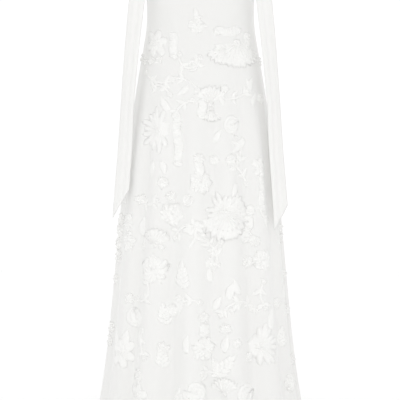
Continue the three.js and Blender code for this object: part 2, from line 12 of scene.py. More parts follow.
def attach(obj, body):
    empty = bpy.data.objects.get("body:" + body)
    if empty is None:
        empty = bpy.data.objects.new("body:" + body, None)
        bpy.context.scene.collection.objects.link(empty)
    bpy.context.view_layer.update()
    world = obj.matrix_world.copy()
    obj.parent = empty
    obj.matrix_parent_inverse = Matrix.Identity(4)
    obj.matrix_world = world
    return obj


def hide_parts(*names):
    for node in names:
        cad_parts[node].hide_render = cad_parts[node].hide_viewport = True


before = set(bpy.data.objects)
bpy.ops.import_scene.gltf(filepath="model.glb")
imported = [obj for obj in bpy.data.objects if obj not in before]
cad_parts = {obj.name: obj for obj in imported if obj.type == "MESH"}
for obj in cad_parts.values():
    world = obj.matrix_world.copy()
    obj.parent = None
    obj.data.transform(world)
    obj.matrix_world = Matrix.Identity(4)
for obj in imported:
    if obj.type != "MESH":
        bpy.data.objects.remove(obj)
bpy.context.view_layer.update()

bl_info = {
    "name": "Appliqued dress",
    "version": (1, 0, 0),
    "blender": (4, 5, 0),
    "location": "3D View > Sidebar > Dress",
    "description": "A long sleeveless dress with raised flowers and a sash at each shoulder",
    "category": "Add Mesh",
}

# ---- The dress's form, in millimetres ----
# The same named sizes as in the solids. +Z is up, the front faces -Y, and the origin lies midway
# between the shoulders, at the height of their highest point.
MM = 0.001
HEM = -1440
UNDERARM = -205
SHOULDER_BASE = -60
SHOULDER_SEAM = 40
SHOULDER_SLOPE = 0.27
NECK_HALF_WIDTH = 105
NECK_BOTTOM = -75
FOLDS_START = -430
FOLDS_FULL = -1000
SEAM_GAP = 0.3
SASH_WIDTH = 42
SASH_WALL = 2
SASH_END = 1.5
HEM_STITCH = 24
EDGE_STITCH = 6
SEAM_DEPTH = 2.2
SEAM_HALF_WIDTH = 9
SEAM_MARGIN = 3
ZIP_HALF_WIDTH = 13
ZIP_END = -560
# How far the cloth is drawn in at the hem's edge, the side seams and the centre-back seam.
HEM_TUCK = 0.5
SIDE_TUCK = 0.6
CENTRE_TUCK = 0.8
STITCH_HALF_WIDTH = 2.5

Section = namedtuple("Section", "level half_width front back")
Cut = namedtuple("Cut", "level turn")
Fold = namedtuple("Fold", "turn half depth")
Crease = namedtuple("Crease", "x level length width depth lean")
Motif = namedtuple("Motif", "kind x z size turn sweep", defaults=(0,))
Vine = namedtuple("Vine", "x z radius start sweep leaves")
Hang = namedtuple("Hang", "level x y turn")
Column = namedtuple("Column", "across forward")
Ends = namedtuple("Ends", "inner outer")
Cutting = namedtuple("Cutting", "width length area")

SECTIONS = (
    Section(HEM, 260, 205, 215),
    Section(-1357, 246, 197, 206),
    Section(-1253, 233, 187, 196),
    Section(-1149, 223, 177, 187),
    Section(-1045, 214, 168, 178),
    Section(-954, 206, 160, 170),
    Section(-860, 197, 151, 163),
    Section(-760, 186, 141, 154),
    Section(-629, 169, 127, 140),
    Section(-560, 159, 118, 130),
    Section(-499, 149, 110, 118),
    Section(-447, 141, 103, 108),
    Section(-400, 139, 100, 102),
    Section(-340, 142, 109, 100),
    Section(-275, 150, 123, 101),
    Section(UNDERARM, 155, 117, 101),
    Section(-120, 172, 98, 97),
    Section(SHOULDER_BASE, 190, 76, 90),
    Section(SHOULDER_SEAM, 190, 76, 90),
)
ARMHOLE = (
    Cut(UNDERARM, 90),
    Cut(-192, 74),
    Cut(-165, 61),
    Cut(-120, 54.5),
    Cut(SHOULDER_BASE, 52),
    Cut(SHOULDER_SEAM, 60),
)
NECKLINE = (
    Cut(NECK_BOTTOM, 0),
    Cut(-74.9, 1.7),
    Cut(-74.6, 3.3),
    Cut(-73.9, 5.4),
    Cut(-72.8, 7.5),
    Cut(-71, 10),
    Cut(-60, 20),
    Cut(-42, 27.5),
    Cut(-20, 31.5),
    Cut(6, 33.2),
    Cut(SHOULDER_SEAM, 33.5),
)
FRONT_FOLDS = (
    Fold(-90, 15, 8),
    Fold(-60, 13, 6),
    Fold(-32, 14, 10),
    Fold(-5, 13, 9),
    Fold(21, 12, 8),
    Fold(47, 14, 10),
    Fold(70, 9, 5),
    Fold(90, 11, 8),
    Fold(-75, 10, -6),
    Fold(-46, 11, -12),
    Fold(-18.5, 11, -13),
    Fold(8, 11, -13),
    Fold(34, 11, -12),
    Fold(59, 10, -9),
    Fold(80, 8, -6),
)
BACK_FOLDS = (
    Fold(-90, 15, 8),
    Fold(-64, 11, 6),
    Fold(-41, 12, 9),
    Fold(-16, 13, 8),
    Fold(15, 12, 9),
    Fold(38, 11, 7),
    Fold(63, 13, 9),
    Fold(90, 11, 8),
    Fold(-77, 10, -6),
    Fold(-52, 10, -11),
    Fold(-28, 11, -13),
    Fold(0, 12, -12),
    Fold(27, 11, -13),
    Fold(50, 11, -11),
    Fold(77, 10, -7),
)
# Soft creases that the hang of the cloth puts between the folds. A negative depth is a trough.
FRONT_CREASES = (
    Crease(-62, -640, 150, 9, 1.6, 0.05),
    Crease(-40, -820, 210, 8, -1.8, 0.03),
    Crease(35, -760, 190, 9, -1.8, -0.04),
    Crease(92, -640, 130, 8, 1.5, -0.10),
    Crease(112, -900, 170, 9, -1.9, -0.06),
    Crease(-128, -860, 150, 9, -1.8, 0.07),
    Crease(-75, -1120, 200, 11, -2.2, 0.04),
    Crease(48, -1120, 240, 10, 1.7, -0.03),
    Crease(128, -1130, 160, 11, -2.2, -0.06),
    Crease(-150, -1190, 150, 10, 1.8, 0.06),
    Crease(14, -1290, 150, 11, -2.2, -0.02),
    Crease(-30, -1330, 120, 10, 1.8, 0.02),
    Crease(190, -1280, 130, 11, 2.0, -0.08),
    Crease(-105, -420, 60, 12, -1.4, 0.9),
    Crease(100, -425, 55, 12, -1.4, -0.9),
    Crease(-112, -300, 70, 14, -1.6, 0.7),
    Crease(108, -310, 70, 14, -1.6, -0.6),
    Crease(-60, -235, 60, 16, -1.2, -0.4),
    Crease(52, -240, 60, 16, -1.2, 0.5),
)
BACK_CREASES = (
    Crease(-48, -640, 150, 9, -1.6, 0.05),
    Crease(66, -640, 140, 9, 1.5, -0.06),
    Crease(-92, -780, 180, 9, -1.9, 0.05),
    Crease(0, -860, 190, 9, -1.8, 0.01),
    Crease(112, -820, 170, 9, 1.6, -0.07),
    Crease(70, -1020, 200, 10, -2.1, -0.04),
    Crease(-60, -1120, 190, 10, 1.8, 0.03),
    Crease(-140, -1100, 170, 10, -2.0, 0.07),
    Crease(150, -1180, 170, 11, -2.2, -0.06),
    Crease(20, -1290, 150, 11, 1.9, -0.01),
    Crease(-105, -415, 60, 12, -1.4, 0.8),
    Crease(98, -410, 60, 12, -1.4, -0.9),
    Crease(-70, -300, 70, 14, -1.4, 0.5),
    Crease(66, -290, 70, 14, -1.3, -0.5),
)
SASH_PATH = (
    Hang(-75, 140.5, -60, 30),
    Hang(-120, 143, -71, 22),
    Hang(-205, 148, -75, 14),
    Hang(-275, 154, -75, 10),
    Hang(-374, 161, -71, 12),
    Hang(-500, 174, -67, 25),
    Hang(-629, 185, -66, 34),
    Hang(-760, 192, -69, 28),
    Hang(-860, 199, -77, 25),
    Hang(-980, 206, -88, 22),
)
SASH_ENDS = {-1: Ends(-864, -935), 1: Ends(-965, -903)}
SASH_STRAP_LEVELS = (38, 15, -10, -34)
SASH_ROWS = 17
SASH_START = -75
SASH_COLUMNS = (
    Column(0, 0),
    Column(0.22, 2.4),
    Column(0.4, 0.8),
    Column(0.62, 2.8),
    Column(0.82, 1.6),
    Column(1, 0),
)

# ---- The raised flowers ----
# Where each motif lies as seen from its own side, in millimetres, with the way it points and, for a
# fan, the angle it opens over.
FRONT_MOTIFS = (
    Motif("tuft", -10, -452, 22, 20),
    Motif("bow", -14, -440, 22, 30),
    Motif("leaf", -8, -432, 30, 100),
    Motif("blossom", -114, -492, 38, 10),
    Motif("ruffle", -68, -500, 36, 95),
    Motif("tuft", -142, -534, 11, 90),
    Motif("tuft", -126, -538, 11, 80),
    Motif("tuft", -106, -536, 12, 100),
    Motif("curl", -20, -552, 17, 200),
    Motif("ruffle", 70, -464, 38, 4),
    Motif("ruffle", 118, -486, 26, 80),
    Motif("fan", 92, -494, 62, 268, 168),
    Motif("fan", 118, -500, 46, 284, 120),
    Motif("fan", 58, -506, 44, 248, 110),
    Motif("fan", 26, -650, 44, 92, 120),
    Motif("fan", 28, -662, 32, 272, 100),
    Motif("ruffle", 4, -664, 24, 90),
    Motif("leaf", 122, -618, 44, 72),
    Motif("leaf", 130, -652, 40, 66),
    Motif("leaf", 128, -610, 34, 118),
    Motif("bud", 154, -628, 15, 60),
    Motif("daisy", -104, -714, 62, 182, 240),
    Motif("leaf", -78, -668, 48, 118),
    Motif("ruffle", -58, -742, 64, 92),
    Motif("curl", 78, -704, 25, 30),
    Motif("leaf", 36, -746, 38, 62),
    Motif("leaf", 112, -736, 52, 222),
    Motif("tuft", 76, -790, 17, 90),
    Motif("tuft", -4, -786, 14, 100),
    Motif("ruffle", -3, -812, 26, 90),
    Motif("tuft", 0, -846, 31, 70),
    Motif("blossom", 148, -806, 27, 10),
    Motif("ruffle", 151, -866, 50, 88),
    Motif("tuft", -71, -924, 32, 130),
    Motif("tuft", -74, -880, 14, 90),
    Motif("daisy", 54, -916, 50, 330, 330),
    Motif("fan", 62, -926, 62, 306, 230),
    Motif("curl", 116, -982, 18, 0),
    Motif("ruffle", 122, -934, 34, 84),
    Motif("tuft", -184, -944, 29, 40),
    Motif("tuft", -180, -994, 26, 80),
    Motif("leaf", -150, -980, 52, 82),
    Motif("fan", -112, -1000, 40, 92, 150),
    Motif("bow", -16, -958, 32, 8),
    Motif("leaf", 26, -1092, 42, 92),
    Motif("bud", 25, -1043, 14, 80),
    Motif("tuft", 154, -1038, 31, 200),
    Motif("tuft", 134, -990, 15, 30),
    Motif("tuft", 120, -1042, 17, 250),
    Motif("tuft", -116, -1060, 42, 15),
    Motif("sprig", -46, -1108, 58, 90),
    Motif("sprig", -50, -1120, 40, 265),
    Motif("leaf", 66, -1134, 52, 66),
    Motif("leaf", 96, -1122, 44, 112),
    Motif("tuft", 60, -1204, 14, 100),
    Motif("curl", -165, -1182, 27, 110),
    Motif("daisy", 146, -1250, 60, 4, 200),
    Motif("leaf", 170, -1214, 60, 78),
    Motif("tuft", 9, -1176, 15, 90),
    Motif("ruffle", 10, -1208, 14, 92),
    Motif("tuft", 7, -1252, 32, 160),
    Motif("blossom", -195, -1272, 39, 40),
    Motif("leaf", -206, -1262, 56, 100),
    Motif("leaf", -188, -1258, 48, 80),
    Motif("tuft", -156, -1324, 20, 120),
    Motif("sprig", 38, -1316, 56, 46),
    Motif("sprig", 44, -1312, 34, 110),
    Motif("bud", -72, -1160, 16, 90),
    Motif("sprig", -94, -1300, 48, 92),
    Motif("blossom", -152, -1368, 31, 10),
    Motif("curl", -13, -1354, 31, 170),
    Motif("fan", 58, -1360, 36, 90, 130),
    Motif("curl", 112, -1366, 29, 20),
    Motif("ruche", -203, -938, 19, 0),
    Motif("ruche", -206, -968, 20, 40),
    Motif("ruche", -209, -1001, 19, 90),
    Motif("ruche", -211, -1034, 17, 10),
    Motif("ruche", -216, -1092, 13, 60),
    Motif("ruche", -227, -1216, 16, 0),
    Motif("ruche", -231, -1250, 15, 30),
    Motif("ruche", 205, -962, 16, 0),
    Motif("ruche", 207, -986, 15, 70),
    Motif("ruche", 215, -1084, 18, 0),
    Motif("ruche", 223, -1172, 18, 90),
    Motif("ruche", 236, -1300, 18, 20),
    Motif("ruche", 228, -1350, 26, 40),
    Motif("tuft", 124, -1276, 14, 0),
    Motif("leaf", -120, -790, 44, 262),
    Motif("leaf", -96, -792, 38, 284),
    Motif("tuft", -92, -846, 16, 40),
    Motif("sprig", -88, -1196, 46, 96),
    Motif("tuft", -92, -1250, 15, 20),
    Motif("leaf", -34, -1262, 46, 84),
    Motif("leaf", 34, -1160, 42, 62),
    Motif("leaf", 58, -1262, 46, 78),
    Motif("bud", 88, -1240, 13, 0),
    Motif("leaf", -208, -1124, 44, 92),
    Motif("tuft", -178, -1136, 14, 0),
    Motif("tuft", 196, -1150, 15, 0),
    Motif("leaf", -150, -1250, 42, 100),
    Motif("sprig", -58, -1402, 48, 84),
    Motif("leaf", -30, -606, 38, 214),
    Motif("bud", 60, -612, 12, 0),
    Motif("leaf", 88, -846, 40, 250),
    Motif("bud", 34, -790, 13, 0),
    Motif("curl", -30, -892, 16, 60),
    Motif("tuft", -150, -888, 14, 0),
    Motif("ruche", -150, -524, 12, 0),
    Motif("ruche", 152, -532, 13, 0),
    Motif("leaf", -196, -900, 40, 96),
    Motif("leaf", 210, -1140, 42, 80),
    Motif("sprig", 206, -1260, 44, 84),
)
FRONT_VINES = (
    Vine(-28, -533, 26, 160, 200, 2),
    Vine(-92, -520, 74, 215, 75, 2),
    Vine(70, -560, 76, 235, 80, 3),
    Vine(-28, -990, 38, 20, 150, 2),
    Vine(98, -1190, 52, 30, 130, 3),
    Vine(-150, -1110, 30, 240, 190, 2),
    Vine(60, -770, 46, -60, 110, 2),
    Vine(-20, -1040, 62, -6, 62, 2),
    Vine(104, -1176, 34, 30, 120, 1),
    Vine(-60, -1230, 92, 168, 42, 2),
    Vine(20, -1350, 42, 30, 80, 2),
    Vine(-10, -700, 60, 100, 60, 2),
    Vine(190, -1120, 60, 150, 70, 2),
    Vine(-110, -640, 40, 20, 90, 2),
    Vine(60, -860, 62, 10, 60, 2),
    Vine(-130, -840, 60, 230, 70, 2),
    Vine(-122, -1006, 30, 0, 180, 1),
    Vine(-62, -648, 64, 30, 70, 1),
    Vine(86, -1036, 58, 130, 70, 2),
    Vine(-24, -1180, 46, 60, 90, 2),
    Vine(172, -900, 40, 190, 80, 1),
)
BACK_MOTIFS = (
    Motif("tuft", 8, -452, 24, 20),
    Motif("leaf", 10, -430, 30, 82),
    Motif("blossom", -72, -500, 38, 20),
    Motif("ruffle", -114, -522, 30, 90),
    Motif("fan", 84, -512, 60, 268, 140),
    Motif("leaf", 124, -590, 42, 70),
    Motif("leaf", -24, -572, 40, 120),
    Motif("curl", -104, -665, 27, 100),
    Motif("sprig", -62, -660, 48, 80),
    Motif("daisy", 66, -715, 58, 10, 260),
    Motif("ruffle", 12, -730, 50, 92),
    Motif("tuft", 122, -680, 15, 60),
    Motif("blossom", -68, -820, 46, 50),
    Motif("ruffle", -130, -812, 44, 88),
    Motif("tuft", 142, -850, 31, 10),
    Motif("leaf", 14, -856, 44, 60),
    Motif("tuft", 50, -930, 30, 130),
    Motif("bow", -10, -952, 30, 172),
    Motif("blossom", -150, -960, 36, 70),
    Motif("leaf", -104, -972, 44, 100),
    Motif("tuft", -55, -1042, 32, 200),
    Motif("ruffle", 24, -1052, 40, 88),
    Motif("daisy", 120, -1060, 60, 200, 330),
    Motif("tuft", -135, -1150, 42, 25),
    Motif("leaf", -84, -1134, 46, 70),
    Motif("fan", -40, -1176, 38, 92, 140),
    Motif("curl", 45, -1190, 29, 10),
    Motif("tuft", -14, -1216, 15, 90),
    Motif("tuft", 165, -1230, 31, 60),
    Motif("sprig", 104, -1256, 50, 80),
    Motif("daisy", -65, -1292, 56, 120, 330),
    Motif("blossom", 80, -1338, 38, 5),
    Motif("curl", -185, -1345, 30, 140),
    Motif("sprig", 10, -1350, 48, 95),
    Motif("tuft", -130, -1358, 18, 90),
    Motif("ruche", 232, -1330, 19, 0),
    Motif("ruche", 214, -1078, 16, 0),
    Motif("ruche", 203, -950, 17, 0),
    Motif("sprig", 206, -1180, 44, 80),
    Motif("ruche", -222, -1190, 18, 0),
    Motif("ruche", -205, -984, 17, 0),
    Motif("leaf", -196, -1020, 44, 84),
    Motif("blossom", -206, -1286, 28, 30),
)
BACK_VINES = (
    Vine(0, -620, 44, 200, 120, 2),
    Vine(-10, -905, 46, 100, 140, 2),
    Vine(120, -760, 40, -80, 140, 3),
    Vine(-10, -1130, 48, 20, 130, 2),
    Vine(-150, -1080, 40, 60, 90, 2),
    Vine(150, -1150, 44, -70, 100, 2),
    Vine(-40, -700, 60, 200, 60, 2),
    Vine(100, -940, 60, -10, 70, 2),
    Vine(-110, -1230, 60, 200, 70, 2),
    Vine(40, -1260, 50, 190, 80, 2),
)

# ---- Resolution ----
CLOTH_COLUMNS = 64
HEM_ROWS = (0, 1.5, 4, 9, 16, 22, 24, 26, 30, 36)
SKIRT_ROWS = 104
BODICE_ROWS = 18
BELOW_NECK_ROWS = (12, 8, 6, 4.5, 2.5, 1, 0.3, 0)
SHOULDER_ROWS = 26
CROWDING = 1.7
EDGE_STEPS = 160
PETAL_CELLS = (4, 6)
NARROW_CELLS = (2, 7)
LEAF_CELLS = (6, 8)
BUD_CELLS = (4, 4)
SASH_CELLS = (20, 150)
SEAM_CELLS = {"back": (4, 150), "side": (4, 130), "shoulder": (4, 16)}
# Where a petal's rim lies against the cloth, and the share of its full height that is kept.
RIM = -0.05
RELIEF = 0.76

# ---- The studio, in metres ----
FLOOR_HALF = 6
FLOOR_LEVEL = HEM * MM - 0.012
KEY_PLACE = (-0.02, -3.3, -0.75)
KEY_AIM = (0, 0, -1.0)
KEY_WIDTH = 1.4
CAMERA_PLACE = (-0.0013, -2.889, -0.889)
CAMERA_LENS = 100
CAMERA_SENSOR = 36


def lerp(low, high, share):
    return low + (high - low) * share


def smoothstep(value, low, high):
    share = min(max((value - low) / (high - low), 0), 1)
    return share * share * (3 - 2 * share)


# ---- The cloth's surface ----
TABLES = {
    "sections": SECTIONS,
    "armhole": ARMHOLE,
    "neckline": NECKLINE,
    "sash": SASH_PATH[::-1],
}


@lru_cache(maxsize=200000)
def column(table, name, level):
    """The value of a table's column at a level, on a smooth curve through its rows."""
    rows = TABLES[table]
    last = len(rows) - 1
    if level <= rows[0].level:
        return getattr(rows[0], name)
    if level >= rows[last].level:
        return getattr(rows[last], name)
    i = next(k for k, row in enumerate(rows) if row.level > level) - 1

    def slope(k):
        below, above = rows[max(k - 1, 0)], rows[min(k + 1, last)]
        return (getattr(above, name) - getattr(below, name)) / (above.level - below.level)

    step = rows[i + 1].level - rows[i].level
    t = (level - rows[i].level) / step
    start, end = getattr(rows[i], name), getattr(rows[i + 1], name)
    value = (2 * t**3 - 3 * t**2 + 1) * start + (3 * t**2 - 2 * t**3) * end
    bend = (t**3 - 2 * t**2 + t) * slope(i) + (t**3 - t**2) * slope(i + 1)
    return value + bend * step


class Panel:
    """One side of the dress: where it faces, and the folds and creases in it."""

    def __init__(self, side, depth, folds, creases):
        self.side = side
        self.depth = depth
        self.folds = folds
        self.creases = [(self.around(self.turn_at(c.x, c.level), c.level), c) for c in creases]

    def turn_at(self, x, level):
        """The turn in degrees of the place that lies at x, as seen from the panel's side."""
        share = x / column("sections", "half_width", level)
        return math.degrees(math.asin(min(max(share, -1), 1)))

    def around(self, turn, level):
        """The distance round the body from the panel's centre line."""
        wide = column("sections", "half_width", level)
        deep = column("sections", self.depth, level)
        angle = math.radians(turn)
        return angle * (wide + deep) / 2 + math.sin(2 * angle) * (wide - deep) / 4

    def turn_around(self, around, level):
        """The turn that lies at a distance round the body."""
        wide = column("sections", "half_width", level)
        deep = column("sections", self.depth, level)
        angle = 2 * around / (wide + deep)
        for _ in range(4):
            reached = angle * (wide + deep) / 2 + math.sin(2 * angle) * (wide - deep) / 4
            stretch = wide * math.cos(angle) ** 2 + deep * math.sin(angle) ** 2
            angle -= (reached - around) / stretch
        return math.degrees(angle)

    def fold(self, turn, level):
        """How far the folds carry the cloth out from the plain body."""
        share = 1 - smoothstep(level, FOLDS_FULL, FOLDS_START)
        growth = share * lerp(1, 0.75, smoothstep(level, HEM, FOLDS_FULL))
        out = 0
        for fold in self.folds:
            away = abs(turn - fold.turn) / fold.half
            if away < 1:
                out += fold.depth * math.cos(away * math.pi / 2) ** 2
        return out * growth

    def crease(self, turn, level):
        """How far the creases move the cloth, out or in."""
        around = self.around(turn, level)
        out = 0
        for middle, crease in self.creases:
            up = level - crease.level
            along = (up / crease.length) ** 2
            if along > 4:
                continue
            across = ((around - middle + crease.lean * up) / crease.width) ** 2
            if across < 9:
                out += crease.depth * math.exp(-across - along)
        return out

    def point(self, turn, level):
        """A point of the cloth's outer side."""
        wide = column("sections", "half_width", level)
        deep = column("sections", self.depth, level)
        angle = math.radians(turn)
        rise = max(0, (level - SHOULDER_BASE) / (SHOULDER_SEAM - SHOULDER_BASE)) * math.pi / 2
        x = wide * math.sin(angle)
        y = deep * math.cos(angle) * math.cos(rise)
        fold = self.fold(turn, level)
        edge = 1 - smoothstep(abs(turn), 78, 90)
        fold += self.crease(turn, level) * edge
        length = math.hypot(x / wide**2, y / deep**2) or 1
        base = min(level, SHOULDER_BASE) - SHOULDER_BASE * math.sin(rise)
        sloping = smoothstep(level, 2 * SHOULDER_BASE, SHOULDER_SEAM)
        drop = SHOULDER_SLOPE * (abs(x) - NECK_HALF_WIDTH) * sloping
        return Vector((
            x + fold * x / wide**2 / length,
            self.side * (y + fold * y / deep**2 / length + SEAM_GAP / 2),
            base - drop,
        ))

    def normal(self, turn, level):
        """The direction straight out of the cloth."""
        step = 0.2
        below = min(level, SHOULDER_SEAM - step)
        across = self.point(turn + step, level) - self.point(turn - step, level)
        up = self.point(turn, below + step) - self.point(turn, below - step)
        return (across.cross(up) * -self.side).normalized()

    def stand(self, around, level, height):
        """A point at a height over the cloth, from its place on the flat cloth."""
        turn = self.turn_around(around, level)
        return self.point(turn, level) + self.normal(turn, level) * height


FRONT = Panel(-1, "front", FRONT_FOLDS, FRONT_CREASES)
BACK = Panel(1, "back", BACK_FOLDS, BACK_CREASES)


def cloth_levels():
    """The levels of the cloth's rows: close together at the hem, the armhole and the neck."""
    def between(low, high, count, crowding=1.0):
        return [lerp(low, high, (i / count) ** crowding) for i in range(1, count + 1)]

    rows = [HEM + step for step in HEM_ROWS]
    rows += between(rows[-1], UNDERARM, SKIRT_ROWS)
    rows += between(UNDERARM, NECK_BOTTOM - BELOW_NECK_ROWS[0], BODICE_ROWS, CROWDING)
    rows += [NECK_BOTTOM - step for step in BELOW_NECK_ROWS[1:]]
    rows += between(NECK_BOTTOM, SHOULDER_SEAM, SHOULDER_ROWS, CROWDING)
    return rows


# ---- Making pieces ----
def linked(name, data, location=(0, 0, 0)):
    """Puts a mesh, a light or a camera into the scene."""
    made = bpy.data.objects.new(name, data)
    made.location = location
    bpy.context.scene.collection.objects.link(made)
    return made


def mesh_data(name, mesh, material):
    data = bpy.data.meshes.new(name)
    mesh.to_mesh(data)
    mesh.free()
    data.materials.append(material)
    return data


def finished(name, mesh, material, wall, even=False):
    """Puts a bmesh into the scene as a piece of cloth with a wall's thickness."""
    data = mesh_data(name, mesh, material)
    data.shade_smooth()
    piece = linked(name, data)
    solidify = piece.modifiers.new("Thickness", "SOLIDIFY")
    solidify.thickness = wall
    solidify.offset = -1.0
    solidify.use_even_offset = even
    solidify.thickness_clamp = 1.0
    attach(piece, "dress")
    return piece


def face_away(mesh, outward):
    """Turns the whole sheet over if its faces look inwards."""
    mesh.normal_update()
    if sum(face.normal.dot(outward(face)) * face.calc_area() for face in mesh.faces) < 0:
        bmesh.ops.reverse_faces(mesh, faces=mesh.faces)


def grid(mesh, cells, place):
    """A grid of cells whose points go to place(across, along), both from 0 to 1."""
    made = bmesh.ops.create_grid(mesh, x_segments=cells[0], y_segments=cells[1], size=0.5)["verts"]
    for vertex in made:
        vertex.co = place(vertex.co.x + 0.5, vertex.co.y + 0.5)
    return made


# ---- Cloth panels ----
def cut_edges(panel):
    """A panel's neck and armhole edges, as points to measure the distance to."""
    tree = KDTree(4 * (EDGE_STEPS + 1))
    for i in range(EDGE_STEPS + 1):
        for table, start in (("armhole", UNDERARM), ("neckline", NECK_BOTTOM)):
            level = lerp(start, SHOULDER_SEAM, (i / EDGE_STEPS) ** 2)
            turn = column(table, "turn", level)
            tree.insert(panel.point(turn, level), 0)
            tree.insert(panel.point(-turn, level), 0)
    tree.balance()
    return tree


def panel_mesh(panel, halves, hem_line):
    """The cloth of a panel, with one or both of its halves.

    Its points keep their place on the flat cloth and how far they are from the neck's or an
    armhole's edge.
    """
    mesh = bmesh.new()
    edges = cut_edges(panel)
    where = mesh.verts.layers.float_vector.new("cloth")
    levels = cloth_levels()
    last = len(levels) - 1
    for half in halves:
        def place(across, along):
            level = levels[round(along * last)]
            edge = 90 if level <= UNDERARM else column("armhole", "turn", level)
            centre = 0 if level <= NECK_BOTTOM else column("neckline", "turn", level)
            turn = half * lerp(edge, centre, across)
            out = 0.0
            if across < 0.001 and level <= UNDERARM:
                out -= SIDE_TUCK
            if len(halves) == 1 and across > 0.999 and level <= NECK_BOTTOM:
                out -= CENTRE_TUCK
            out -= hem_line * math.exp(-(((level - HEM - HEM_STITCH) / STITCH_HALF_WIDTH) ** 2))
            if abs(level - HEM) < 1:
                out -= HEM_TUCK
            cloth = panel.point(turn, level)
            from_edge = edges.find(cloth)[2] if level > 2 * UNDERARM else -HEM
            point = cloth + panel.normal(turn, level) * out
            if len(halves) == 1:
                point.x += half * SEAM_GAP / 2
            return point * MM, Vector((panel.around(turn, level), level, from_edge)) * MM

        made = bmesh.ops.create_grid(
            mesh, x_segments=CLOTH_COLUMNS, y_segments=last, size=0.5)["verts"]
        for vertex in made:
            vertex.co, vertex[where] = place(vertex.co.x + 0.5, vertex.co.y + 0.5)
        if half < 0:
            faces = list({face for vertex in made for face in vertex.link_faces})
            bmesh.ops.reverse_faces(mesh, faces=faces)
    bmesh.ops.remove_doubles(mesh, verts=mesh.verts, dist=1e-6)
    face_away(mesh, lambda face: Vector((face.calc_center_median().x, panel.side * 0.1, 0)))
    return mesh


def seams_mesh():
    """The seams' pressed-open edges, on the inside, and the zip's tape down the back."""
    mesh = bmesh.new()

    def behind(across, along):
        level = lerp(HEM + SEAM_MARGIN, NECK_BOTTOM - 2, along)
        half = lerp(SEAM_HALF_WIDTH, ZIP_HALF_WIDTH, smoothstep(level, ZIP_END - 10, ZIP_END))
        return BACK.stand((1 - 2 * across) * half, level, -SEAM_DEPTH) * MM

    grid(mesh, SEAM_CELLS["back"], behind)
    for side in (-1, 1):
        def beside(across, along):
            level = lerp(HEM + SEAM_MARGIN, UNDERARM - 2, along)
            around = side * FRONT.around(90, level) + (2 * across - 1) * SEAM_HALF_WIDTH
            return FRONT.stand(around, level, -SEAM_DEPTH) * MM

        def over(across, along):
            panel = FRONT if across < 0.5 else BACK
            level = SHOULDER_SEAM - abs(2 * across - 1) * SEAM_HALF_WIDTH
            inner = column("neckline", "turn", SHOULDER_SEAM) + 1
            outer = column("armhole", "turn", SHOULDER_SEAM) - 1.5
            turn = side * lerp(inner, outer, along if side < 0 else 1 - along)
            return (panel.point(turn, level) - panel.normal(turn, level) * SEAM_DEPTH) * MM

        grid(mesh, SEAM_CELLS["side"], beside)
        grid(mesh, SEAM_CELLS["shoulder"], over)
    return mesh


# ---- Raised flowers, laid out on the flat cloth and then wrapped round the body ----
def heading(bearing):
    """The unit step over the flat cloth in a bearing, in degrees from +x towards up."""
    return Vector((math.cos(math.radians(bearing)), math.sin(math.radians(bearing))))


def round_tip(along):
    return math.sin(math.pi * (0.12 + 0.78 * along)) ** 0.7


def pointed_tip(along):
    return math.sin(math.pi * min(along * 0.95 + 0.05, 1) ** 0.8)


def even_tip(along):
    return min(1, 0.42 + 1.5 * along) * math.sqrt(max(0.04, 1 - max(0, (along - 0.7) / 0.31) ** 2))


def petal(mesh, x, z, bearing, length, width, rise, tip=round_tip, crease=0.0, cells=PETAL_CELLS,
          lift=0.3, bend=0.0):
    """A puffed petal from its root at x, z. It comes down to the cloth all round."""
    ahead = heading(bearing)
    beside = Vector((-ahead.y, ahead.x))

    def place(across, along):
        side = 2 * across - 1
        sway = bend * math.sin(math.pi * along * 0.9)
        flat = ahead * (along * length) + beside * (side * width / 2 * tip(along) + sway)
        arch = max(0, math.sin(math.pi * along)) ** (0.85 - 0.6 * lift)
        height = rise * arch * (1 - side * side) ** 1.5
        height -= crease * arch * math.exp(-((side / 0.35) ** 2))
        return Vector((x + flat.x, z + flat.y, max(height, 0) + RIM))

    return grid(mesh, cells, place)


def mound(mesh, x, z, radius, rise, lobes, turn):
    """Soft padding under the roots of a motif."""
    def place(across, along):
        ahead = heading(turn + 360 * across)
        reach = radius * along * (1 + 0.14 * math.cos(2 * math.pi * lobes * across))
        height = rise * math.cos(math.pi / 2 * along) ** 1.4 + RIM
        return Vector((x + ahead.x * reach, z + ahead.y * reach, height))

    return grid(mesh, (max(10, 3 * lobes), 4), place)


def pleated(mesh, x, z, outer, turn, sweep, pleats, rise, lip=0.0):
    """A gathered ribbon that opens round its root in pleats. A lip lifts its scalloped edge."""
    def place(across, along):
        ridge = math.cos(2 * math.pi * pleats * across)
        uneven = math.sin(5.3 * across * pleats + turn)
        ahead = heading(turn + sweep * (across - 0.5))
        reach = outer * (1 + 0.07 * ridge + 0.05 * uneven) * along
        arch = math.sin(math.pi * along * (1 - 0.16 * lip)) ** 0.6
        ends = min(1, 6 * across, 6 * (1 - across)) if sweep < 350 else 1
        height = rise * arch * (0.72 + 0.28 * ridge + 0.08 * uneven) * math.sqrt(ends)
        return Vector((x + ahead.x * reach, z + ahead.y * reach, height + RIM))

    return grid(mesh, (pleats * 4, 7), place)


def ribbon(mesh, path, steps, width, rise):
    """A rounded ribbon or cord that follows path(share) over the cloth."""
    def place(across, along):
        here = Vector(path(along))
        ahead = Vector(path(min(1, along + 0.01))) - Vector(path(max(0, along - 0.01)))
        ahead.normalize()
        side = 2 * across - 1
        ends = min(1, 0.1 + 6 * along, 0.1 + 6 * (1 - along))
        flat = here + Vector((-ahead.y, ahead.x)) * (side * width / 2 * ends)
        return Vector((flat.x, flat.y, rise * ends * (1 - side * side) ** 1.2 + RIM))

    return grid(mesh, (6, steps), place)


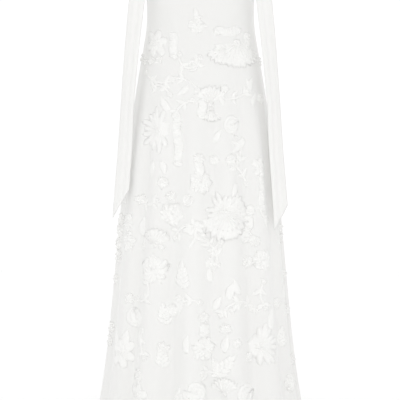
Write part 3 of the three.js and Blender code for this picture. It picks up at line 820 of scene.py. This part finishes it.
def make_tuft(mesh, x, z, size, turn, sweep, stand=1.0):
    """A cluster of short puffed ribbons on a soft mound."""
    mound(mesh, x, z, size * 0.92, 3.0 * stand, 5, turn)
    count = max(7, round(size * 0.55))
    for i in range(count):
        share = (i + 0.4) / count
        bearing = turn + 137.5 * i
        root = heading(bearing) * size * 0.6 * math.sqrt(share)
        petal(mesh, x + root.x, z + root.y, bearing + 75 * math.sin(2.3 * i + turn),
              size * 0.3 + 4 + 2 * math.sin(3.1 * i), size * 0.22 + 4.5,
              lerp(5.6, 3.6, share) * stand, lift=0.6, bend=2.4 * math.sin(1.7 * i))


def make_ruche(mesh, x, z, size, turn, sweep):
    """A cluster that stands well out from the cloth."""
    make_tuft(mesh, x, z, size, turn, sweep, stand=1.5)


def make_blossom(mesh, x, z, size, turn, sweep):
    """Two rings of broad petals round a raised middle."""
    mound(mesh, x, z, size * 0.6, 2.6, 6, turn)
    count = max(5, round(size / 6.5))
    for ring, (reach, rise, root) in enumerate(((1, 3.4, 0.14), (0.6, 4.8, 0.06))):
        for i in range(count):
            bearing = turn + 360 * (i + 0.5 * ring) / count
            start = heading(bearing) * size * root
            petal(mesh, x + start.x, z + start.y, bearing + 5 * math.sin(3.3 * i),
                  size * reach * (0.88 + 0.1 * math.sin(1.9 * i + turn)),
                  3.9 * size * reach / count, rise + 0.5 * math.sin(2.3 * i), crease=0.5, lift=0.3,
                  bend=1.8 * math.sin(2.7 * i))
    make_bud(mesh, x, z, size * 0.3, turn, rise=6.4)


def make_daisy(mesh, x, z, size, turn, sweep):
    """Long narrow petals round a small tufted middle."""
    mound(mesh, x, z, size * 0.5, 2.4, 7, turn)
    count = max(8, round(sweep / 20))
    for i in range(count):
        bearing = turn + sweep * ((i + 0.5) / count - 0.5)
        start = heading(bearing) * size * 0.1
        reach = size * (0.88 + 0.13 * math.sin(2.1 * i + turn))
        petal(mesh, x + start.x, z + start.y, bearing + 4 * math.sin(1.9 * i), reach * 0.9,
              size * 0.27, 3.8 + 0.8 * math.sin(3.7 * i), even_tip, cells=NARROW_CELLS, lift=0.5,
              bend=2.4 * math.sin(1.3 * i))
    pleated(mesh, x, z, size * 0.52, turn, sweep, count, 4.4)
    make_bud(mesh, x, z, size * 0.2, turn, rise=6.2)


def make_fan(mesh, x, z, size, turn, sweep):
    """A gathered half-round ribbon over a second, wider one."""
    wide, narrow = max(5, round(sweep / 15)), max(4, round(sweep / 20))
    pleated(mesh, x, z, size, turn, sweep, wide, 4.0, lip=1)
    pleated(mesh, x, z, size * 0.64, turn + 4, sweep * 0.92, narrow, 5.8, lip=0.6)
    make_bud(mesh, x, z, size * 0.2, turn, rise=5.4)


def make_ruffle(mesh, x, z, size, turn, sweep):
    """A column of short loops that fold over to one side and the other."""
    ahead = heading(turn)
    beside = Vector((-ahead.y, ahead.x))

    def spine(share):
        step = ahead * size * (2 * share - 1) + beside * (2.5 * math.sin(9 * share + size))
        return x + step.x, z + step.y

    ribbon(mesh, spine, max(8, round(size / 3)), 24, 2.2)
    count = max(4, round(size / 5.6))
    for i in range(count):
        along = size * (2 * (i + 0.5 + 0.2 * math.sin(3.9 * i)) / count - 1)
        side = 1 if math.sin(2.4 * i + size) > 0 else -1
        reach = 22 + 5 * math.sin(2.9 * i + size)
        start = ahead * along - beside * (side * reach * 0.45)
        bearing = turn + side * (78 + 26 * math.sin(1.7 * i))
        width, rise = 12.5 + 2 * math.sin(4.1 * i), 5.2 + 1.2 * math.sin(2.1 * i)
        petal(mesh, x + start.x, z + start.y, bearing, reach, width, rise, lift=0.5,
              bend=3.4 * side)


def make_leaf(mesh, x, z, size, turn, sweep):
    petal(mesh, x, z, turn, size, size * 0.46, 4.2, pointed_tip, crease=1.3, cells=LEAF_CELLS,
          lift=0.3, bend=size * 0.06)


def make_bud(mesh, x, z, size, turn, sweep=0, rise=4.6):
    mound(mesh, x, z, size, rise * 0.8, 5, turn)
    for i in range(5):
        start = heading(turn + 72 * i + 180) * size * 0.12
        petal(mesh, x + start.x, z + start.y, turn + 72 * i, size * 1.02, size * 0.85, rise,
              lift=0.6, cells=BUD_CELLS)


def make_sprig(mesh, x, z, size, turn, sweep):
    """A stem with pairs of small leaves."""
    ahead = heading(turn)
    ribbon(mesh, lambda t: (x + ahead.x * size * t, z + ahead.y * size * t), 10, 5, 2.2)
    for i in range(8):
        side = 1 if i % 2 else -1
        along = ahead * size * (0.06 + 0.105 * i)
        petal(mesh, x + along.x, z + along.y, turn + side * (48 - 3 * i), size * (0.5 - 0.03 * i),
              size * 0.27, 3.4, pointed_tip, crease=0.8, lift=0.25, bend=side * 1.5)
    tip = ahead * size * 0.84
    petal(mesh, x + tip.x, z + tip.y, turn, size * 0.42, size * 0.26, 3.4, pointed_tip, lift=0.25)


def make_curl(mesh, x, z, size, turn, sweep):
    """A ribbon that winds in to a small puff."""
    def path(share):
        reach = size * lerp(0.9, 0.46, share)
        ahead = heading(turn + 370 * share)
        return x + reach * ahead.x, z + reach * ahead.y

    mound(mesh, x, z, size * 0.9, 1.8, 3, turn)
    ribbon(mesh, path, 34, size * 0.4, 3.8)
    make_bud(mesh, x, z, size * 0.3, turn, rise=4.8)


def make_bow(mesh, x, z, size, turn, sweep):
    """Loops to both sides of a knot, with two tails."""
    for side in (0, 180):
        for spread in (-32, 3, 38):
            petal(mesh, x, z, turn + side + spread, size * (1 - abs(spread) / 120), size * 0.5, 4.4,
                  crease=1.2, lift=0.4, bend=2)
    for i, bearing in enumerate((turn - 62, turn - 104)):
        ahead = heading(bearing)
        bend = Vector((-ahead.y, ahead.x)) * (7 if i else -7)

        def path(share):
            sway = math.sin(share * math.pi * 1.4)
            return (x + ahead.x * size * 1.6 * share + bend.x * sway,
                    z + ahead.y * size * 1.6 * share + bend.y * sway)

        ribbon(mesh, path, 14, 8.5, 3.0)
    make_bud(mesh, x, z, size * 0.3, turn, rise=5.6)


MAKERS = {
    "tuft": make_tuft,
    "ruche": make_ruche,
    "blossom": make_blossom,
    "daisy": make_daisy,
    "fan": make_fan,
    "ruffle": make_ruffle,
    "leaf": make_leaf,
    "bud": make_bud,
    "sprig": make_sprig,
    "curl": make_curl,
    "bow": make_bow,
}


def make_vine(mesh, around, vine):
    """A cord on an arc, with small leaves along it and a bud at each end."""
    def path(share):
        ahead = heading(vine.start + vine.sweep * share)
        return around + vine.radius * ahead.x, vine.z + vine.radius * ahead.y

    length = math.radians(vine.sweep) * vine.radius
    ribbon(mesh, path, max(8, round(length / 4)), 6.6, 2.8)
    for i in range(vine.leaves):
        share = (i + 0.6) / vine.leaves
        x, z = path(share)
        bearing = vine.start + vine.sweep * share + 90
        side = 1 if i % 2 else -1
        for turn, length, width, rise, bend in (
            (side * 46, 26, 13, 3.2, 2),
            (-side * 58, 21, 12, 3.0, -2),
        ):
            petal(mesh, x, z, bearing + turn, length, width, rise, pointed_tip, crease=0.8,
                  lift=0.2, bend=bend)
    for end in (0, 1):
        x, z = path(end)
        make_bud(mesh, x, z, 8, 40 * end, rise=3.8)


def applique_mesh(panel, motifs, vines, keep):
    """All of a panel's raised flowers whose place passes keep(x)."""
    mesh = bmesh.new()
    for motif in motifs:
        if keep(motif.x):
            around = panel.around(panel.turn_at(motif.x, motif.z), motif.z)
            MAKERS[motif.kind](mesh, around, motif.z, motif.size, motif.turn, motif.sweep)
    for vine in vines:
        if keep(vine.x):
            make_vine(mesh, panel.around(panel.turn_at(vine.x, vine.z), vine.z), vine)
    for vertex in mesh.verts:
        around, level, height = vertex.co
        vertex.co = panel.stand(around, level, RIM + (height - RIM) * RELIEF) * MM
    return mesh


# ---- Sashes ----
def sash_point(ends, across, row):
    """The middle of a sash: it lies on the shoulder first and then hangs straight down."""
    strap = len(SASH_STRAP_LEVELS)
    if row < strap:
        below = int(row)
        level = SASH_STRAP_LEVELS[below]
        x = SASH_PATH[0].x + (across - 0.5) * SASH_WIDTH
        turn = math.degrees(math.asin(x / column("sections", "half_width", level)))
        height = SASH_END if row == 0 else SEAM_GAP + SASH_WALL
        return FRONT.point(turn, level) + FRONT.normal(turn, level) * height
    share = (row - strap) / (SASH_ROWS - 1)
    level = lerp(SASH_START, lerp(ends.inner, ends.outer, across), share)
    turn = math.radians(column("sash", "turn", level))
    offset = (across - 0.5) * SASH_WIDTH
    return Vector((
        column("sash", "x", level) + offset * math.cos(turn),
        column("sash", "y", level) + offset * math.sin(turn),
        level,
    ))


def sash_mesh(side):
    """A sash as a sheet with soft lengthwise folds."""
    mesh = bmesh.new()
    ends = SASH_ENDS[side]
    strap = len(SASH_STRAP_LEVELS)
    rows = strap + SASH_ROWS - 1

    def forward(across):
        spots = SASH_COLUMNS
        for low, high in zip(spots, spots[1:]):
            if across <= high.across + 1e-6:
                share = (across - low.across) / (high.across - low.across)
                return lerp(low.forward, high.forward, smoothstep(share, 0, 1))
        return 0

    def middle(across, row):
        low = math.floor(row)
        share = row - low
        if low < strap:
            if share < 1e-6:
                return sash_point(ends, across, low)
            return sash_point(ends, across, low).lerp(sash_point(ends, across, low + 1), share)
        return sash_point(ends, across, row)

    def place(across, along):
        row = along * rows
        low, high = max(across - 0.05, 0), min(across + 0.05, 1)
        above, below = max(row - 1, 0), min(row + 1, rows)
        wide = middle(high, row) - middle(low, row)
        down = middle(across, below) - middle(across, above)
        out = down.cross(wide).normalized()
        hanging = smoothstep(row, strap, strap + 3)
        point = middle(across, row) + out * forward(across) * hanging
        return Vector((side * point.x, point.y, point.z)) * MM

    grid(mesh, SASH_CELLS, place)
    face_away(mesh, lambda face: Vector((0, -1, 0)))
    return mesh


# ---- Materials ----
class Wire:
    """One output of a material's nodes, for use in sums."""

    def __init__(self, finish, socket):
        self.finish = finish
        self.socket = socket

    def __add__(self, other):
        return self.finish.math("ADD", self, other)

    def __radd__(self, other):
        return self.finish.math("ADD", other, self)

    def __sub__(self, other):
        return self.finish.math("SUBTRACT", self, other)

    def __rsub__(self, other):
        return self.finish.math("SUBTRACT", other, self)

    def __mul__(self, other):
        return self.finish.math("MULTIPLY", self, other)

    def __rmul__(self, other):
        return self.finish.math("MULTIPLY", other, self)


class Finish:
    """The nodes of a material or a world, put together one by one."""

    def __init__(self, owner):
        owner.use_nodes = True
        self.owner = owner
        self.tree = owner.node_tree
        self.tree.nodes.clear()

    def node(self, kind, settings=None, sockets=None, output=0):
        """Adds a node with its settings and the values or links of its sockets."""
        made = self.tree.nodes.new(kind)
        for name, value in (settings or {}).items():
            setattr(made, name, value)
        for name, value in (sockets or {}).items():
            if isinstance(value, Wire):
                self.tree.links.new(value.socket, made.inputs[name])
            else:
                made.inputs[name].default_value = value
        return Wire(self, made.outputs[output])

    def math(self, kind, *values):
        return self.node("ShaderNodeMath", {"operation": kind}, dict(enumerate(values)))

    def noise(self, place, scale, detail=2.0, roughness=0.5):
        return self.node("ShaderNodeTexNoise", {}, {
            "Vector": place, "Scale": scale, "Detail": detail, "Roughness": roughness})

    def drawn_out(self, place, share):
        """The place for a noise that runs lengthwise."""
        return self.node("ShaderNodeMapping", {}, {"Vector": place, "Scale": (1, 1, share)})

    def passage(self, value, low, high, start, end):
        """Goes smoothly from start to end while a value goes from low to high."""
        return self.node("ShaderNodeMapRange", {"interpolation_type": "SMOOTHSTEP"}, {
            "Value": value, "From Min": low, "From Max": high, "To Min": start, "To Max": end})

    def parts(self, vector):
        """The x, y and z of a vector."""
        split = self.node("ShaderNodeSeparateXYZ", {}, {"Vector": vector})
        return [Wire(self, split.socket.node.outputs[side]) for side in "XYZ"]

    def stitches(self, away, along):
        """Short stitches on the line where away is 0."""
        line = self.math("COMPARE", away, 0.0, 0.00035)
        return line * self.math("GREATER_THAN", self.math("PINGPONG", along, 0.0015), 0.0004)

    def groove(self, away):
        """The soft groove that a line of sewing pulls into the cloth."""
        return self.passage(self.math("ABSOLUTE", away), 0.0, 0.0022, 1.0, 0.0)

    def mixed(self, share, first, second):
        """A colour between two colours."""
        ends = [part if isinstance(part, Wire) else (*part, 1) for part in (first, second)]
        return self.node("ShaderNodeMix", {"data_type": "RGBA"}, {
            "Factor": share, 6: ends[0], 7: ends[1]}, 2)

    def finish(self, colour, roughness, height, bump, **fixed):
        """Ends the material in one shader with a bump."""
        normal = self.node("ShaderNodeBump", {}, {
            "Height": height, "Strength": 1.0, "Distance": bump})
        sockets = {"Base Color": colour, "Roughness": roughness, "Normal": normal, **fixed}
        shader = self.node("ShaderNodeBsdfPrincipled", {}, sockets)
        self.end(shader, "ShaderNodeOutputMaterial")
        return self.owner

    def end(self, shader, kind):
        self.tree.links.new(shader.socket, self.tree.nodes.new(kind).inputs["Surface"])


# The fine fuzz of the cloth's threads, which lightens its sides.
FUZZ = {"Sheen Weight": 0.4, "Sheen Roughness": 0.5}


def shade(colour, factor):
    return tuple(min(1, part * factor) for part in colour)


def begin(name):
    """A new material's nodes, and the place of a point on the object, in metres."""
    finish = Finish(bpy.data.materials.new(name))
    return finish, finish.node("ShaderNodeTexCoord", output=3)


def crepe(name, colour, roughness=0.82):
    """Matt dress cloth with a fine crisp grain, sewn along its hem, neck and armholes."""
    finish, place = begin(name)
    cloudy = finish.noise(place, 9.0, 2.0)
    grain = finish.noise(place, 900.0, 2.0, 0.6)
    slub = finish.noise(finish.drawn_out(place, 0.12), 420.0)
    cloth = finish.node("ShaderNodeAttribute", {"attribute_name": "cloth"}, output=1)
    around, level, from_edge = finish.parts(cloth)
    hem = level - (HEM + HEM_STITCH) * MM
    edge = from_edge - EDGE_STITCH * MM
    sewn = finish.stitches(hem, around) + finish.stitches(edge, around + level)
    sunk = finish.groove(hem) + finish.groove(edge)
    tone = finish.mixed(0.55 * cloudy + 0.45 * slub, shade(colour, 0.985), shade(colour, 1.012))
    tone = finish.mixed(sewn, tone, shade(colour, 0.93))
    height = 0.6 * grain + 0.4 * slub + 1.6 * sewn - 2.2 * sunk
    return finish.finish(tone, roughness + 0.1 * (grain - 0.5), height, 0.00025, **FUZZ)


def ribbon_cloth(name, colour):
    """The soft sheer ribbon that the raised flowers are made of, crinkled all over."""
    finish, place = begin(name)
    cloudy = finish.noise(place, 60.0, 2.0)
    thread = finish.noise(place, 1300.0, 1.0)
    crinkle = finish.noise(place, 190.0, 2.0, 0.45)
    tone = finish.mixed(cloudy, shade(colour, 0.975), shade(colour, 1.01))
    height = crinkle + 0.12 * thread
    return finish.finish(tone, 0.7 + 0.12 * (thread - 0.5), height, 0.0012, **FUZZ)


def satin(name, colour):
    """Smooth sash cloth whose threads run lengthwise."""
    finish, place = begin(name)
    thread = finish.noise(finish.drawn_out(place, 0.05), 900.0, 1.0)
    cloudy = finish.noise(place, 14.0, 2.0)
    tone = finish.mixed(0.5 * cloudy + 0.5 * thread, shade(colour, 0.98), shade(colour, 1.01))
    return finish.finish(tone, 0.5 + 0.1 * (thread - 0.5), thread, 0.00012)


def enamel(name, colour):
    """White enamel over metal, a little worn."""
    finish, place = begin(name)
    wear = finish.noise(place, 700.0, 3.0)
    tone = finish.mixed(wear, shade(colour, 0.93), colour)
    return finish.finish(tone, 0.32 + 0.12 * wear, wear, 0.00004)


def pale_floor(name, colour):
    finish, place = begin(name)
    cloudy = finish.noise(place, 3.0, 2.0)
    tone = finish.mixed(cloudy, shade(colour, 0.995), colour)
    return finish.finish(tone, 0.9 + 0.02 * cloudy, cloudy, 0.0001)


# ---- What a user can change ----
class DressSizes(bpy.types.PropertyGroup):
    cloth_thickness: FloatProperty(
        name="Cloth thickness", description="How thick the dress's cloth is",
        default=0.001, min=0.0004, max=0.002, unit="LENGTH")
    ribbon_thickness: FloatProperty(
        name="Ribbon thickness", description="How thick the raised flowers' ribbon is",
        default=0.0005, min=0.0003, max=0.0015, unit="LENGTH")
    sash_thickness: FloatProperty(
        name="Sash thickness", description="How thick the folded sash is",
        default=0.0014, min=0.0006, max=0.002, unit="LENGTH")
    hem_line: FloatProperty(
        name="Hem line", description="How deep the hem's sewing pulls the cloth in, in millimetres",
        default=0.5, min=0, max=1.5)


class DressColours(bpy.types.PropertyGroup):
    cloth: FloatVectorProperty(
        name="Cloth", description="Colour of the dress's cloth",
        subtype="COLOR", size=3, min=0, max=1, default=(0.789, 0.787, 0.773))
    flowers: FloatVectorProperty(
        name="Flowers", description="Colour of the raised flowers",
        subtype="COLOR", size=3, min=0, max=1, default=(0.842, 0.840, 0.825))
    sash: FloatVectorProperty(
        name="Sash", description="Colour of the sashes",
        subtype="COLOR", size=3, min=0, max=1, default=(0.818, 0.816, 0.802))
    zip: FloatVectorProperty(
        name="Zip", description="Colour of the zip's enamel",
        subtype="COLOR", size=3, min=0, max=1, default=(0.80, 0.795, 0.78))
    floor: FloatVectorProperty(
        name="Floor", description="Colour of the studio floor",
        subtype="COLOR", size=3, min=0, max=1, default=(0.985, 0.985, 0.985))


class DressLight(bpy.types.PropertyGroup):
    key_power: FloatProperty(
        name="Key light", description="Power of the soft light in front",
        default=19.0, min=0, subtype="POWER", unit="POWER")
    room: FloatProperty(
        name="Room light", description="Brightness of the room all round",
        default=0.68, min=0, max=2)
    ceiling: FloatProperty(
        name="Ceiling light", description="How much brighter the room is overhead",
        default=0.52, min=0, max=2)
    sides: FloatProperty(
        name="Side light", description="How much brighter the room is to both sides",
        default=0.3, min=0, max=2)
    backdrop: FloatProperty(
        name="Backdrop", description="Brightness of the wall behind the dress",
        default=1.04, min=0, max=2)


def studio_world(light):
    """A pale room, brighter overhead and on the wall behind the dress."""
    world = bpy.data.worlds.new("studio")
    finish = Finish(world)
    beside, ahead, up = finish.parts(finish.node("ShaderNodeTexCoord"))
    overhead = finish.math("MAXIMUM", up, 0.0)
    wall = finish.passage(ahead, 0.72, 0.93, 0.0, light.backdrop - light.room)
    strength = light.room + light.ceiling * (overhead * overhead)
    strength = strength + light.sides * (beside * beside) + wall
    air = finish.node("ShaderNodeBackground", {}, {"Color": (1, 1, 1, 1), "Strength": strength})
    finish.end(air, "ShaderNodeOutputWorld")
    return world


# ---- Operators ----
class DRESS_OT_panels(bpy.types.Operator):
    """Makes the front and the two backs"""

    bl_idname = "dress.panels"
    bl_label = "Cloth panels"

    def execute(self, context):
        sizes, colours = context.scene.dress_sizes, context.scene.dress_colours
        cloth = crepe("dress_cloth", colours.cloth)
        for name, panel, halves in (
            ("front", FRONT, (-1, 1)),
            ("back_left", BACK, (-1,)),
            ("back_right", BACK, (1,)),
        ):
            mesh = panel_mesh(panel, halves, sizes.hem_line)
            piece = finished(f"{name}_cloth", mesh, cloth, sizes.cloth_thickness)
            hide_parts(name)
        mesh = seams_mesh()
        face_away(mesh, lambda face: face.calc_center_median() * Vector((1, 1, 0)))
        finished("seam_edges", mesh, cloth, sizes.ribbon_thickness, even=True)
        return {"FINISHED"}


class DRESS_OT_flowers(bpy.types.Operator):
    """Lays the raised flowers on the panels"""

    bl_idname = "dress.flowers"
    bl_label = "Raised flowers"

    def execute(self, context):
        sizes, colours = context.scene.dress_sizes, context.scene.dress_colours
        cloth = ribbon_cloth("flower_ribbon", colours.flowers)
        for name, panel, motifs, vines in (
            ("front", FRONT, FRONT_MOTIFS, FRONT_VINES),
            ("back_left", BACK, BACK_MOTIFS, BACK_VINES),
            ("back_right", BACK, BACK_MOTIFS, BACK_VINES),
        ):
            for half, keep in (("left", lambda x: x < 0), ("right", lambda x: x >= 0)):
                if name.startswith("back") and not name.endswith(half):
                    continue
                mesh = applique_mesh(panel, motifs, vines, keep)
                face_away(mesh, lambda face: Vector((0, panel.side, 0)))
                side = name if name.endswith(half) else f"{name}_{half}"
                finished(f"flowers_{side}", mesh, cloth, sizes.ribbon_thickness)
            if name == "front":
                bpy.data.objects["seam_edges"]
        return {"FINISHED"}


class DRESS_OT_sashes(bpy.types.Operator):
    """Hangs a sash from each shoulder"""

    bl_idname = "dress.sashes"
    bl_label = "Sashes"

    def execute(self, context):
        sizes, colours = context.scene.dress_sizes, context.scene.dress_colours
        cloth = satin("sash_satin", colours.sash)
        for name, side in (("sash_left", -1), ("sash_right", 1)):
            mesh = sash_mesh(side)
            piece = finished(f"{name}_cloth", mesh, cloth, sizes.sash_thickness, True)
            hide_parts(name)
        return {"FINISHED"}


class DRESS_OT_zip(bpy.types.Operator):
    """Finishes the zip's slider and its pull"""

    bl_idname = "dress.zip"
    bl_label = "Zip"

    def execute(self, context):
        white = enamel("zip_enamel", context.scene.dress_colours.zip)
        for name in ("zip_slider", "zip_pull"):
            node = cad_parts[name]
            node.data.materials.clear()
            node.data.materials.append(white)
        return {"FINISHED"}


class DRESS_OT_stage(bpy.types.Operator):
    """Sets up the floor, the light and the camera"""

    bl_idname = "dress.stage"
    bl_label = "Studio"

    def execute(self, context):
        scene = context.scene
        mesh = bmesh.new()
        bmesh.ops.create_grid(mesh, x_segments=12, y_segments=12, size=FLOOR_HALF)
        for vertex in mesh.verts:
            vertex.co.z = FLOOR_LEVEL
        pale = pale_floor("floor_pale", scene.dress_colours.floor)
        floor = linked("floor", mesh_data("floor", mesh, pale))

        scene.world = studio_world(scene.dress_light)
        light = bpy.data.lights.new("key", "AREA")
        light.shape = "DISK"
        light.size = KEY_WIDTH
        light.energy = scene.dress_light.key_power
        key = linked("key", light, KEY_PLACE)
        aim = Vector(KEY_AIM) - key.location
        key.rotation_euler = aim.to_track_quat("-Z", "Y").to_euler()

        lens = bpy.data.cameras.new("camera")
        lens.lens = CAMERA_LENS
        lens.sensor_width = CAMERA_SENSOR
        lens.clip_end = 50
        camera = linked("camera", lens, CAMERA_PLACE)
        camera.rotation_euler = (math.radians(90), 0, 0)
        scene.camera = camera
        scene.view_settings.view_transform = "Standard"
        return {"FINISHED"}


class DRESS_PT_sidebar(bpy.types.Panel):
    bl_label = "Dress"
    bl_idname = "DRESS_PT_sidebar"
    bl_space_type = "VIEW_3D"
    bl_region_type = "UI"
    bl_category = "Dress"

    def draw(self, context):
        scene = context.scene
        for group in (scene.dress_sizes, scene.dress_colours, scene.dress_light):
            for name in group.__annotations__:
                self.layout.prop(group, name)
        for operator in OPERATORS:
            self.layout.operator(operator.bl_idname)


OPERATORS = (
    DRESS_OT_panels,
    DRESS_OT_flowers,
    DRESS_OT_sashes,
    DRESS_OT_zip,
    DRESS_OT_stage,
)
CLASSES = (DressSizes, DressColours, DressLight, *OPERATORS, DRESS_PT_sidebar)


def register():
    for part in CLASSES:
        bpy.utils.register_class(part)
    bpy.types.Scene.dress_sizes = PointerProperty(type=DressSizes)
    bpy.types.Scene.dress_colours = PointerProperty(type=DressColours)
    bpy.types.Scene.dress_light = PointerProperty(type=DressLight)


def unregister():
    del bpy.types.Scene.dress_light
    del bpy.types.Scene.dress_colours
    del bpy.types.Scene.dress_sizes
    for part in reversed(CLASSES):
        bpy.utils.unregister_class(part)


def main():
    register()
    bpy.ops.dress.panels()
    bpy.ops.dress.flowers()
    bpy.ops.dress.sashes()
    bpy.ops.dress.zip()
    bpy.ops.dress.stage()


if __name__ == "__main__":
    main()
